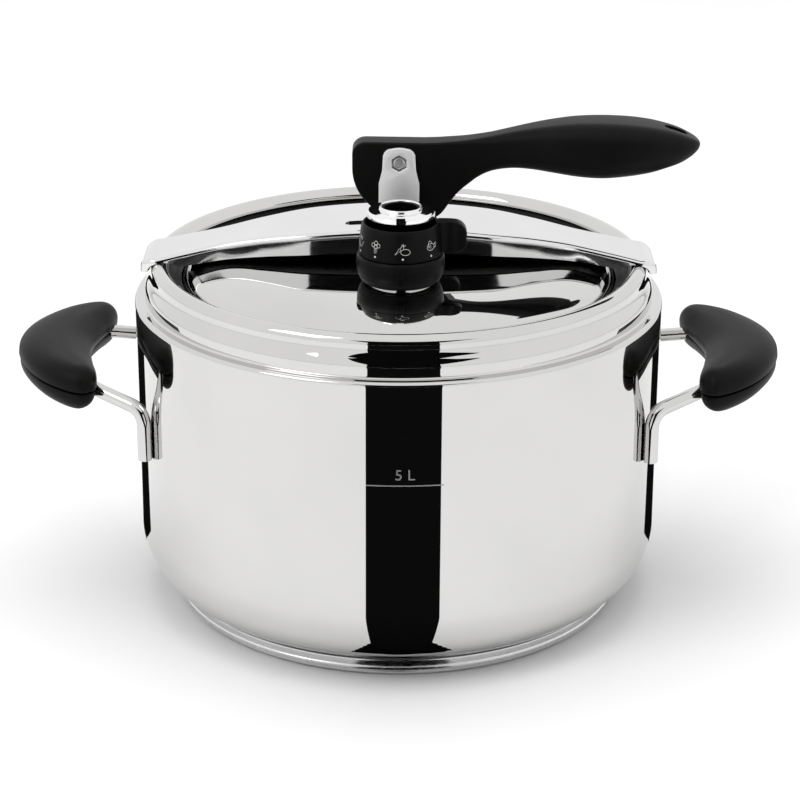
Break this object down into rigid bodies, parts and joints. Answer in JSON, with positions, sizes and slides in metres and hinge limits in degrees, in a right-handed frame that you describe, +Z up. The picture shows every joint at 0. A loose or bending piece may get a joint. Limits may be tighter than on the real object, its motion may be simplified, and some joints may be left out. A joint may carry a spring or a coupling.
{
  "type": "stovetop pressure cooker",
  "caption": "Polished steel pressure cooker: inner lid drawn up by a cam lever over an arched crossbar, dial valve, black side grips.",
  "frame": {"origin": "pot axis in the plane the base stands on", "axes": "+Z up along the pot axis, +X along the crossbar towards the lever's free end, -Y towards the regulator dial"},
  "size_m": [0.3214, 0.2204, 0.206],
  "materials": {
    "polished_steel": "mirror polished stainless steel",
    "satin_steel": "satin stainless steel",
    "core_aluminium": "plain",
    "black_handle": "fine matt moulded plastic",
    "black_dial": "fine matt moulded plastic",
    "gasket_rubber": "black silicone rubber",
    "valve_brass": "turned brass",
    "zinc_steel": "plated steel"
  },
  "bodies": {
    "pot": {"pot_body": "polished_steel", "base_core": "core_aluminium", "base_cap": "satin_steel", "left_handle_rod": "polished_steel", "right_handle_rod": "polished_steel", "left_grip_upper": "black_handle", "left_grip_lower": "black_handle", "right_grip_upper": "black_handle", "right_grip_lower": "black_handle", "grip_screws": "zinc_steel"},
    "bar": {"crossbar": "polished_steel", "bar_saddle": "zinc_steel"},
    "lid": {"lid_disc": "polished_steel", "lid_gasket": "gasket_rubber", "clevis": "satin_steel", "clevis_stud": "zinc_steel", "clevis_washer": "zinc_steel", "clevis_nut": "zinc_steel", "pivot_pin": "zinc_steel", "valve_seal": "gasket_rubber", "valve_nut": "valve_brass", "valve_nozzle": "valve_brass", "valve_housing": "black_dial", "valve_cap": "polished_steel", "cap_insert": "black_dial", "regulator_spring": "zinc_steel", "safety_seal": "gasket_rubber", "safety_nut": "valve_brass", "safety_body": "valve_brass", "safety_spring": "zinc_steel"},
    "lever": {"lever_handle": "black_handle", "lever_bush": "zinc_steel"},
    "dial": {"dial_ring": "black_dial"},
    "regulator": {"regulator_poppet": "valve_brass"},
    "safety": {"safety_plunger": "valve_brass"}
  },
  "joints": [
    {"name": "closure_lift", "type": "slide", "parent": "pot", "child": "bar", "axis": [0, 0, 1], "range_m": [0, 0.12], "deforming": ["lid_gasket"]},
    {"name": "lid_drop", "type": "slide", "parent": "bar", "child": "lid", "axis": [0, 0, -1], "range_m": [0, 0.005]},
    {"name": "lever_tilt", "type": "hinge", "parent": "lid", "child": "lever", "pos_m": [0, 0, 0.189], "axis": [0, -1, 0], "range_deg": [0, 90]},
    {"name": "dial_turn", "type": "hinge", "parent": "lid", "child": "dial", "pos_m": [0.0008, -0.039, 0.168], "axis": [0, 0, 1], "range_deg": [-43, 34]},
    {"name": "regulator_lift", "type": "slide", "parent": "lid", "child": "regulator", "axis": [0, 0, 1], "range_m": [0, 0.0012], "stiffness_N_per_m": 150, "springref_m": -0.001, "deforming": ["regulator_spring"]},
    {"name": "safety_lift", "type": "slide", "parent": "lid", "child": "safety", "axis": [0, 0, 1], "range_m": [0, 0.0025], "stiffness_N_per_m": 200, "springref_m": -0.001, "deforming": ["safety_spring"]}
  ],
  "couplings": [
    {"joint": "lid_drop", "follows": "lever_tilt", "m_per_rad": 0.0031831}
  ]
}
